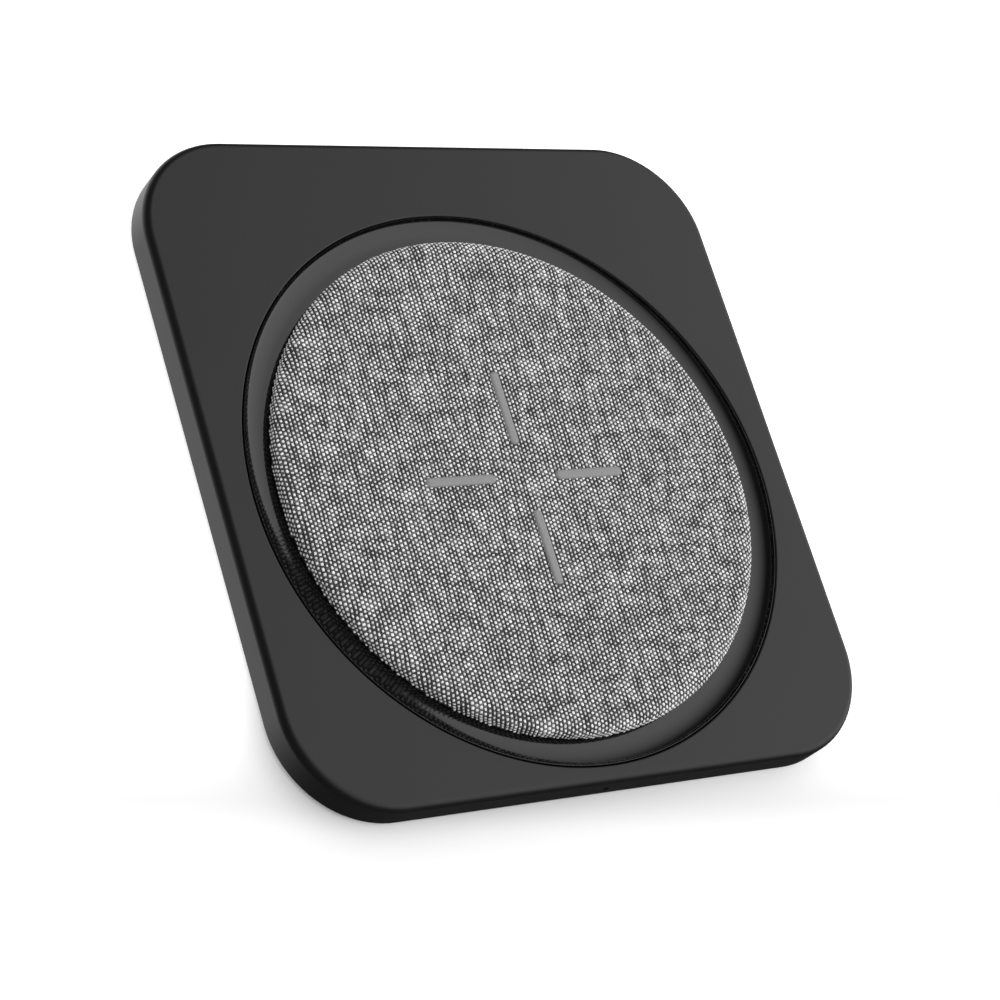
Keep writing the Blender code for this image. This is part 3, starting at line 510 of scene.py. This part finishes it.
# %% The weaving tree and its inputs
# Lengths are in millimetres and the twist is in radians. A slub stretch is how fast the noise runs across
# and along the warp, per millimetre, and how deep in the noise it is read.
WANDER_LENGTH, WANDER_REACH = 2.2, (0.40, 0.55)
TWIST = 0.30
SLUB_STRETCHES = (((1 / 0.45, 1 / 4.0, 0.0), 0.0), ((1 / 7.0, 1 / 0.26, 0.0), 7.0))
OWN_SHADE = 0.6
SHADE_RANGE = (0.55, 1.75)
WIDTH_RANGE, LENGTH_RANGE = (0.66, 1.32), (0.66, 1.28)

weave = bpy.data.node_groups.new("plain_weave", "GeometryNodeTree")
sockets = {"Warp pitch": "Float", "Weft pitch": "Float", "Reach": "Float", "Shift": "Float"}
sockets |= {"Across": "Float", "Seed": "Int", "Float": "Object", "Profile": "Object", "Yarn": "Material"}
weave.interface.new_socket("Geometry", in_out="OUTPUT", socket_type="NodeSocketGeometry")
knob = {}
for name, kind in sockets.items():
    made = weave.interface.new_socket(name, in_out="INPUT", socket_type="NodeSocket" + kind)
    knob[name] = made.identifier
sizes = add(weave, "NodeGroupInput").outputs
print("inputs of the weaving tree:", ", ".join(knob))

# %% The grid of crossings
# There is one per column and second pick.
span = add(weave, "ShaderNodeMath", {0: sizes["Reach"], 1: 2.0}, operation="MULTIPLY").outputs[0]
columns = add(weave, "ShaderNodeMath", {0: span, 1: sizes["Warp pitch"]}, operation="DIVIDE").outputs[0]
columns = add(weave, "ShaderNodeMath", {0: columns}, operation="CEIL").outputs[0]
pair = add(weave, "ShaderNodeMath", {0: sizes["Weft pitch"], 1: 2.0}, operation="MULTIPLY").outputs[0]
picks = add(weave, "ShaderNodeMath", {0: span, 1: pair}, operation="DIVIDE").outputs[0]
picks = add(weave, "ShaderNodeMath", {0: picks}, operation="CEIL").outputs[0]
wide = add(weave, "ShaderNodeMath", {0: columns, 1: sizes["Warp pitch"]}, operation="MULTIPLY").outputs[0]
tall = add(weave, "ShaderNodeMath", {0: picks, 1: pair}, operation="MULTIPLY").outputs[0]
columns = add(weave, "ShaderNodeMath", {0: columns, 1: 1.0}, operation="ADD").outputs[0]
picks = add(weave, "ShaderNodeMath", {0: picks, 1: 1.0}, operation="ADD").outputs[0]
feeds = {"Size X": wide, "Size Y": tall, "Vertices X": columns, "Vertices Y": picks}
crossings = add(weave, "GeometryNodeMeshGrid", feeds).outputs["Mesh"]

# Every second column moves by one pick, which makes the chequerboard.
spot = add(weave, "GeometryNodeInputPosition").outputs[0]
row = add(weave, "GeometryNodeInputIndex").outputs[0]
column = add(weave, "ShaderNodeMath", {0: row, 1: picks}, operation="DIVIDE").outputs[0]
column = add(weave, "ShaderNodeMath", {0: column}, operation="FLOOR").outputs[0]
odd = add(weave, "ShaderNodeMath", {0: column, 1: 2.0}, operation="MODULO").outputs[0]
odd = add(weave, "ShaderNodeMath", {0: odd, 1: sizes["Shift"]}, operation="ADD").outputs[0]
step = add(weave, "ShaderNodeMath", {0: odd, 1: sizes["Weft pitch"]}, operation="MULTIPLY").outputs[0]
step = add(weave, "ShaderNodeCombineXYZ", {"Y": step}).outputs[0]
crossings = add(weave, "GeometryNodeSetPosition", {"Geometry": crossings, "Offset": step}).outputs[0]
print("weaving tree:", len(weave.nodes), "nodes for the grid")

# %% Rows that wave
# Crossings beyond the cut edge go. The rest remember where they belong and wander a little from there, as
# yarns do.
far = add(weave, "ShaderNodeVectorMath", {0: spot}, operation="LENGTH").outputs["Value"]
beyond = add(weave, "FunctionNodeCompare", {0: far, 1: sizes["Reach"]}, operation="GREATER_THAN").outputs[0]
feeds = {"Geometry": crossings, "Selection": beyond}
crossings = add(weave, "GeometryNodeDeleteGeometry", feeds).outputs[0]
feeds = {"Geometry": crossings, "Name": "crossing", "Value": spot}
crossings = add(weave, "GeometryNodeStoreNamedAttribute", feeds, data_type="FLOAT_VECTOR").outputs[0]
crossing = add(weave, "GeometryNodeInputNamedAttribute", {"Name": "crossing"}, data_type="FLOAT_VECTOR")
crossing = crossing.outputs[0]
feeds = {"Vector": crossing, "Scale": 1 / (WANDER_LENGTH * MM), "Detail": 2.0}
wander = add(weave, "ShaderNodeTexNoise", feeds).outputs[1]
wander = add(weave, "ShaderNodeVectorMath", {0: wander, 1: (0.5, 0.5, 0.5)}, operation="SUBTRACT").outputs[0]
reach = (WANDER_REACH[0] * MM, WANDER_REACH[1] * MM, 0.0)
wander = add(weave, "ShaderNodeVectorMath", {0: wander, 1: reach}, operation="MULTIPLY").outputs[0]
wandered = add(weave, "ShaderNodeVectorMath", {0: crossing, 1: wander}).outputs[0]
feeds = {"Geometry": crossings, "Name": "flat_place", "Value": wandered}
crossings = add(weave, "GeometryNodeStoreNamedAttribute", feeds, data_type="FLOAT_VECTOR").outputs[0]
flat_place = add(weave, "GeometryNodeInputNamedAttribute", {"Name": "flat_place"}, data_type="FLOAT_VECTOR")
flat_place = flat_place.outputs[0]
print("weaving tree:", len(weave.nodes), "nodes with the waving rows")

# %% Over the shoulder
# The profile, read at the crossing's distance from the middle, carries it over the shoulder.
edge = add(weave, "GeometryNodeObjectInfo", {"Object": sizes["Profile"]}).outputs["Geometry"]
edge = add(weave, "GeometryNodeMeshToCurve", {"Mesh": edge}).outputs[0]
away = add(weave, "ShaderNodeVectorMath", {0: flat_place}, operation="LENGTH").outputs["Value"]
on_edge = add(weave, "GeometryNodeSampleCurve", {"Curves": edge, "Length": away}, mode="LENGTH").outputs
spot_on_edge = add(weave, "ShaderNodeSeparateXYZ", {0: on_edge["Position"]}).outputs
slope = add(weave, "ShaderNodeSeparateXYZ", {0: on_edge["Tangent"]}).outputs
outward = add(weave, "ShaderNodeVectorMath", {0: flat_place}, operation="NORMALIZE").outputs[0]
feeds = {0: outward, "Scale": spot_on_edge["X"]}
place_on_disc = add(weave, "ShaderNodeVectorMath", feeds, operation="SCALE").outputs[0]
rise = add(weave, "ShaderNodeCombineXYZ", {"Y": DISC_Y * MM, "Z": spot_on_edge["Z"]}).outputs[0]
place_on_disc = add(weave, "ShaderNodeVectorMath", {0: place_on_disc, 1: rise}).outputs[0]
feeds = {"Geometry": crossings, "Position": place_on_disc}
crossings = add(weave, "GeometryNodeSetPosition", feeds).outputs[0]
lean = add(weave, "ShaderNodeMath", {0: slope["Z"], 1: -1.0}, operation="MULTIPLY").outputs[0]
lean = add(weave, "ShaderNodeVectorMath", {0: outward, "Scale": lean}, operation="SCALE").outputs[0]
upright = add(weave, "ShaderNodeCombineXYZ", {"Z": slope["X"]}).outputs[0]
normal = add(weave, "ShaderNodeVectorMath", {0: lean, 1: upright}).outputs[0]
turn = add(weave, "FunctionNodeAlignRotationToVector", {"Vector": normal}, axis="Z").outputs[0]
feeds = {"Min": -TWIST, "Max": TWIST, "Seed": sizes["Seed"]}
twist = add(weave, "FunctionNodeRandomValue", feeds, data_type="FLOAT").outputs[1]
twist = add(weave, "ShaderNodeCombineXYZ", {"Z": twist}).outputs[0]
twist = add(weave, "FunctionNodeEulerToRotation", {0: twist}).outputs[0]
turn = add(weave, "FunctionNodeRotateRotation", {0: turn, 1: twist}, rotation_space="LOCAL").outputs[0]
print("weaving tree:", len(weave.nodes), "nodes with the shoulder")

# %% Slubs
# Each warp yarn runs thick and thin along its own length, and so does each weft yarn. The same noise,
# stretched along the warp and then along the weft, sets how wide and how long every float is. Both, with a
# random share of its own, set how pale it is.
slubs = []
for stretch, depth in SLUB_STRETCHES:
    scaled = [s / MM for s in stretch]
    thread = add(weave, "ShaderNodeVectorMath", {0: crossing, 1: scaled}, operation="MULTIPLY").outputs[0]
    thread = add(weave, "ShaderNodeVectorMath", {0: thread, 1: (0.0, 0.0, depth)}).outputs[0]
    slubs.append(add(weave, "ShaderNodeTexNoise", {"Vector": thread, "Detail": 1.0, "Scale": 1.0}).outputs[0])
single = add(weave, "FunctionNodeRandomValue", {"Seed": sizes["Seed"]}).outputs[1]
both = add(weave, "ShaderNodeMath", {0: slubs[0], 1: slubs[1]}, operation="ADD").outputs[0]
mixed = add(weave, "ShaderNodeMath", {0: single, 1: OWN_SHADE, 2: both}, operation="MULTIPLY_ADD").outputs[0]
feeds = {0: mixed, "From Min": SHADE_RANGE[0], "From Max": SHADE_RANGE[1]}
shade = add(weave, "ShaderNodeMapRange", feeds).outputs[0]
feeds = {0: slubs[0], "From Min": 0.3, "From Max": 0.7, "To Min": WIDTH_RANGE[0], "To Max": WIDTH_RANGE[1]}
across = add(weave, "ShaderNodeMapRange", feeds).outputs[0]
feeds = {0: slubs[1], "From Min": 0.3, "From Max": 0.7, "To Min": LENGTH_RANGE[0], "To Max": LENGTH_RANGE[1]}
along = add(weave, "ShaderNodeMapRange", feeds).outputs[0]
thick = add(weave, "ShaderNodeCombineXYZ", {"X": across, "Y": along, "Z": 1.0}).outputs[0]
print("weaving tree:", len(weave.nodes), "nodes with the slubs")

# %% A dome on every crossing
# The copies become real geometry, with a flat map, named OFBake, of where each float lies on the cloth.
dome = add(weave, "GeometryNodeObjectInfo", {"Object": sizes["Float"]}).outputs["Geometry"]
on_dome = add(weave, "GeometryNodeInputPosition").outputs[0]
feeds = {"Geometry": dome, "Name": "dome_place", "Value": on_dome}
dome = add(weave, "GeometryNodeStoreNamedAttribute", feeds, data_type="FLOAT_VECTOR").outputs[0]
feeds = {"Geometry": crossings, "Name": "shade", "Value": shade}
crossings = add(weave, "GeometryNodeStoreNamedAttribute", feeds, data_type="FLOAT").outputs[0]
feeds = {"Points": crossings, "Instance": dome, "Rotation": turn, "Scale": thick}
floats = add(weave, "GeometryNodeInstanceOnPoints", feeds).outputs[0]
floats = add(weave, "GeometryNodeRealizeInstances", {"Geometry": floats}).outputs[0]
dome_place = add(weave, "GeometryNodeInputNamedAttribute", {"Name": "dome_place"}, data_type="FLOAT_VECTOR")
flat_spot = add(weave, "ShaderNodeVectorMath", {0: flat_place, 1: dome_place.outputs[0]}).outputs[0]
share = add(weave, "ShaderNodeMath", {0: 1.0, 1: sizes["Across"]}, operation="DIVIDE").outputs[0]
flat_spot = add(weave, "ShaderNodeVectorMath", {0: flat_spot, "Scale": share}, operation="SCALE").outputs[0]
flat_spot = add(weave, "ShaderNodeVectorMath", {0: flat_spot, 1: (0.5, 0.5, 0.0)}).outputs[0]
feeds = {"Geometry": floats, "Name": "OFBake", "Value": flat_spot}
floats = add(weave, "GeometryNodeStoreNamedAttribute", feeds, data_type="FLOAT2", domain="CORNER").outputs[0]
floats = add(weave, "GeometryNodeSetMaterial", {"Geometry": floats, "Material": sizes["Yarn"]}).outputs[0]
add(weave, "NodeGroupOutput", {0: floats})
print("weaving tree:", len(weave.nodes), "nodes")


# %% Yarn finishes
def yarn(name, darkest, middle, palest):
    """Spun and dyed polyester: matt, with a soft sheen at glancing angles, in each float's own tone."""
    made = bpy.data.materials.new(name)
    made.use_nodes = True
    tree = made.node_tree
    shader = tree.nodes["Principled BSDF"]
    shade = add(tree, "ShaderNodeAttribute", attribute_name="shade").outputs["Fac"]
    place = add(tree, "ShaderNodeTexCoord").outputs["Object"]
    feeds = {"Vector": place, "Scale": 1 / (0.1 * MM), "Detail": 2.0}
    fibre = add(tree, "ShaderNodeTexNoise", feeds).outputs[0]
    tone = add(tree, "ShaderNodeMapRange", {0: fibre, "To Min": -0.12, "To Max": 0.12}).outputs[0]
    tone = add(tree, "ShaderNodeMath", {0: shade, 1: tone}, operation="ADD").outputs[0]
    ramp = add(tree, "ShaderNodeValToRGB", {0: tone})
    ramp.color_ramp.elements[0].color = linear(darkest)
    ramp.color_ramp.elements[1].color = linear(palest)
    ramp.color_ramp.elements.new(0.5).color = linear(middle)
    tree.links.new(ramp.outputs[0], shader.inputs["Base Color"])
    shader.inputs["Roughness"].default_value = 0.85
    shader.inputs["Specular IOR Level"].default_value = 0.3
    shader.inputs["Sheen Weight"].default_value = 0.15
    shader.inputs["Sheen Roughness"].default_value = 0.4
    return made


warp_yarn = yarn("spun_polyester_pale", "#b4b4b4", "#dadada", "#f6f6f6")
weft_yarn = yarn("spun_polyester_dark", "#303030", "#484848", "#6c6c6c")

# %% Weave both yarns
REACH = 42.0


def woven(name, dome, shift, seed, finish):
    """Runs the weaving tree on an empty mesh and keeps the result as a plain mesh."""
    item = bpy.data.objects.new(name, bpy.data.meshes.new(name))
    bpy.context.scene.collection.objects.link(item)
    loom = item.modifiers.new("loom", "NODES")
    loom.node_group = weave
    values = {"Warp pitch": WARP_PITCH * MM, "Weft pitch": WEFT_PITCH * MM, "Reach": REACH * MM}
    values |= {"Shift": shift, "Across": CUT_ACROSS, "Seed": seed}
    values |= {"Float": dome, "Profile": drape_profile, "Yarn": finish}
    for key, value in values.items():
        loom[knob[key]] = value
    plain_mesh(item)
    return item


warp = woven("cloth_warp", warp_float, 0.0, 3, warp_yarn)
weft = woven("cloth_weft", weft_float, 1.0, 4, weft_yarn)
for helper in (warp_float, weft_float, drape_profile):
    bpy.data.objects.remove(helper)
settle(ground, ["fabric_cover"], dark_cloth)
settle(warp, [])
settle(weft, [])

# %% [markdown]
# ## Grip bars and feet
# Four silicone bars in an open plus keep a phone from sliding, and four rubber feet hold the pad on the
# table. Each is one small shape set on four points, so both come from one tree: a grid or ring of points,
# the shape on each, turned to face outwards where that is asked for.

# %% Bar and foot shapes
BAR_LENGTH, BAR_WIDTH, BAR_REACH = 12.0, 1.5, 11.35
BAR_FOOT, BAR_TOP, BAR_ROUND = 7.1, 7.56, (0.42, 0.34)
FOOT_RADIUS, FOOT_ROUND, FOOT_TOP = 4.5, 0.2, 0.7
FOOT_STEPS = 64
FOOT_GRID = (78.0, 83.0)


def capped(name, loops):
    """A solid from a row of loops, closed at both ends."""
    bm = bmesh.new()
    rows = band(bm, loops)
    bm.faces.new(rows[0])
    bm.faces.new(rows[-1])
    return finished_object(name, bm, 50.0)


bar_loops = []
edge = arc((BAR_ROUND[0], BAR_TOP - BAR_ROUND[1]), BAR_ROUND, 180, 90, 8)
for inset, z in [(0.0, BAR_FOOT), *edge]:
    half = BAR_WIDTH / 2 - inset
    run = (BAR_LENGTH - BAR_WIDTH) / 2
    ends = arc((run, 0), (half, half), -90, 90, 14) + arc((-run, 0), (half, half), 90, 270, 14)
    bar_loops.append([(x, y, z) for x, y in ends])
bar = capped("bar_shape", bar_loops)
edge = arc((FOOT_RADIUS - FOOT_ROUND, FOOT_ROUND), (FOOT_ROUND, FOOT_ROUND), 270, 360, 6)
foot_loops = []
for radius, z in [*edge, (FOOT_RADIUS, FOOT_TOP)]:
    round_edge = arc((0, 0), (radius, radius), 0, 360 - 360 / FOOT_STEPS, FOOT_STEPS - 1)
    foot_loops.append([(x, y, z) for x, y in round_edge])
foot = capped("foot_shape", foot_loops)
print("bar:", BAR_LENGTH, "x", BAR_WIDTH, "mm, foot:", 2 * FOOT_RADIUS, "mm across")

# %% The tree that sets four of a shape
fours = bpy.data.node_groups.new("four_of_a_shape", "GeometryNodeTree")
fours.interface.new_socket("Geometry", in_out="OUTPUT", socket_type="NodeSocketGeometry")
four_knob = {}
kinds = {"Points": "Object", "Shape": "Object", "Middle": "Vector", "Outwards": "Float", "Finish": "Material"}
for name, kind in kinds.items():
    made = fours.interface.new_socket(name, in_out="INPUT", socket_type="NodeSocket" + kind)
    four_knob[name] = made.identifier
sizes = add(fours, "NodeGroupInput").outputs
points = add(fours, "GeometryNodeObjectInfo", {"Object": sizes["Points"]}).outputs["Geometry"]
spot = add(fours, "GeometryNodeInputPosition").outputs[0]
parts = add(fours, "ShaderNodeSeparateXYZ", {0: spot}).outputs
heading = add(fours, "ShaderNodeMath", {0: parts["Y"], 1: parts["X"]}, operation="ARCTAN2").outputs[0]
heading = add(fours, "ShaderNodeMath", {0: heading, 1: sizes["Outwards"]}, operation="MULTIPLY").outputs[0]
heading = add(fours, "ShaderNodeCombineXYZ", {"Z": heading}).outputs[0]
heading = add(fours, "FunctionNodeEulerToRotation", {0: heading}).outputs[0]
shape = add(fours, "GeometryNodeObjectInfo", {"Object": sizes["Shape"]}).outputs["Geometry"]
feeds = {"Points": points, "Instance": shape, "Rotation": heading}
copies = add(fours, "GeometryNodeInstanceOnPoints", feeds).outputs[0]
copies = add(fours, "GeometryNodeRealizeInstances", {"Geometry": copies}).outputs[0]
copies = add(fours, "GeometryNodeSetPosition", {"Geometry": copies, "Offset": sizes["Middle"]}).outputs[0]
copies = add(fours, "GeometryNodeSetMaterial", {"Geometry": copies, "Material": sizes["Finish"]}).outputs[0]
add(fours, "NodeGroupOutput", {0: copies})


def four_of(name, spots, shape, middle, outwards, finish):
    """Sets a shape on each spot and keeps the result as one plain mesh."""
    marks = bpy.data.meshes.new("marks")
    marks.from_pydata([(x * MM, y * MM, 0.0) for x, y in spots], [], [])
    marker = bpy.data.objects.new("marks", marks)
    item = bpy.data.objects.new(name, bpy.data.meshes.new(name))
    for made in (marker, item):
        bpy.context.scene.collection.objects.link(made)
    setter = item.modifiers.new("setter", "NODES")
    setter.node_group = fours
    values = {"Points": marker, "Shape": shape, "Middle": middle, "Outwards": outwards, "Finish": finish}
    for key, value in values.items():
        setter[four_knob[key]] = value
    plain_mesh(item)
    for helper in (marker, shape):
        bpy.data.objects.remove(helper)
    return item


# %% [markdown]
# ## Silicone and rubber
# The bars are moulded silicone: even grey with a satin face that picks up a soft highlight. The feet are
# black rubber, almost without gloss, with the faint mottle of a die-cut sheet.

# %% Grained finishes
GLOSS_SPREAD = 0.06


def grained(name, low, high, roughness, grain_mm, relief_mm, metallic=0.0, detail=2.0):
    """A finish whose tone, gloss and relief follow one fine noise of a real size in millimetres."""
    made = bpy.data.materials.new(name)
    made.use_nodes = True
    tree = made.node_tree
    shader = tree.nodes["Principled BSDF"]
    place = add(tree, "ShaderNodeTexCoord").outputs["Object"]
    feeds = {"Vector": place, "Scale": 1 / (grain_mm * MM), "Detail": detail}
    grain = add(tree, "ShaderNodeTexNoise", feeds).outputs[0]
    ramp = add(tree, "ShaderNodeValToRGB", {0: grain})
    ramp.color_ramp.elements[0].position, ramp.color_ramp.elements[1].position = 0.3, 0.7
    ramp.color_ramp.elements[0].color = linear(low)
    ramp.color_ramp.elements[1].color = linear(high)
    tree.links.new(ramp.outputs[0], shader.inputs["Base Color"])
    feeds = {0: grain, "To Min": roughness - GLOSS_SPREAD, "To Max": roughness + GLOSS_SPREAD}
    tree.links.new(add(tree, "ShaderNodeMapRange", feeds).outputs[0], shader.inputs["Roughness"])
    feeds = {"Height": grain, "Strength": 0.4, "Distance": relief_mm * MM}
    tree.links.new(add(tree, "ShaderNodeBump", feeds).outputs[0], shader.inputs["Normal"])
    shader.inputs["Metallic"].default_value = metallic
    return made


silicone = grained("satin_silicone", "#7e7e7e", "#868686", 0.5, 0.3, 0.004)
rubber = grained("die_cut_rubber", "#131313", "#1e1e1e", 0.8, 0.4, 0.02)
bar_spots = [(BAR_REACH, 0), (0, BAR_REACH), (-BAR_REACH, 0), (0, -BAR_REACH)]
bars = four_of("grip_bars", bar_spots, bar, (0, DISC_Y * MM, 0), 1.0, silicone)
names = ["grip_bar_" + side for side in ("right", "top", "left", "bottom")]
settle(bars, names)
foot_spots = [(x * FOOT_GRID[0] / 2, y * FOOT_GRID[1] / 2) for x in (-1, 1) for y in (-1, 1)]
feet = four_of("rubber_feet", foot_spots, foot, (0, 0, 0), 0.0, rubber)
settle(feet, [f"rubber_foot_{i}" for i in range(1, 5)])

# %% [markdown]
# ## The pieces inside
# The CAD nodes that keep their own shape get the finish of what they are made of. Most are hidden in the
# body, but they are still looked at when the pad is taken apart, so each has a real material: tinned steel,
# enamelled copper, sintered ferrite, foam, green solder mask, moulded epoxy, fired ceramic and nylon.

# %% Finishes of the inner pieces
inner_finishes = {
    "matte_shell": matte,
    # Glass-filled nylon straight from the tool: dull, with the fibres just showing.
    "inner_moulding": grained("glass_filled_nylon", "#1c1c1c", "#272727", 0.62, 0.6, 0.01),
    # Zinc-plated and drawn steel: bright, with a fine crystalline spangle.
    "zinc_steel": grained("zinc_plated_steel", "#a9abac", "#c2c4c4", 0.32, 0.25, 0.003, 1.0),
    # Enamelled copper strands: warm metal under a clear lacquer, uneven where strands cross.
    "copper_litz": grained("enamelled_copper_litz", "#9c4f27", "#c97a45", 0.36, 0.18, 0.02, 1.0),
    # Ferrite pressed and fired: near black, slightly shiny, with a fine crystal grain.
    "ferrite": grained("sintered_ferrite", "#26262a", "#37373b", 0.45, 0.2, 0.005),
    # Open-cell foam: dark and fully matt, with deep pores.
    "foam": grained("open_cell_foam", "#1b1b1c", "#353536", 0.95, 0.5, 0.12),
    # Glass-epoxy board under green solder mask: the copper below shows as lighter patches.
    "board_laminate": grained("green_solder_mask", "#0c3f22", "#145a31", 0.38, 1.6, 0.01),
    # Moulded epoxy of chips: dull black with a sandy skin.
    "chip_epoxy": grained("moulded_epoxy", "#141415", "#202021", 0.55, 0.12, 0.006),
    # Fired ceramic of capacitors: light brown and smooth.
    "ceramic": grained("fired_ceramic", "#8a6746", "#a07a55", 0.4, 0.3, 0.003),
    # Nylon of sockets and films: off-white, slightly waxy.
    "pale_plastic": grained("natural_nylon", "#d9d6c8", "#e6e3d6", 0.5, 0.5, 0.004),
}
# Clear polycarbonate of the light pipe: it takes light in behind the wall and shows it at the pinhole.
clear = grained("clear_polycarbonate", "#dfe4e6", "#eef1f2", 0.12, 0.8, 0.001)
clear.node_tree.nodes["Principled BSDF"].inputs["Transmission Weight"].default_value = 0.9
clear.node_tree.nodes["Principled BSDF"].inputs["IOR"].default_value = 1.58
inner_finishes["clear_pipe"] = clear

slots = {row["node"]: row["material_slot"] for row in frame["record"]["subparts"]}
dressed = 0
for name, item in frame["nodes"].items():
    if slots[name] in inner_finishes and not item.hide_render:
        item.data.materials.clear()
        item.data.materials.append(inner_finishes[slots[name]])
        dressed += 1
print("CAD nodes given a finish:", dressed, "of", sum(not n.hide_render for n in frame["nodes"].values()))
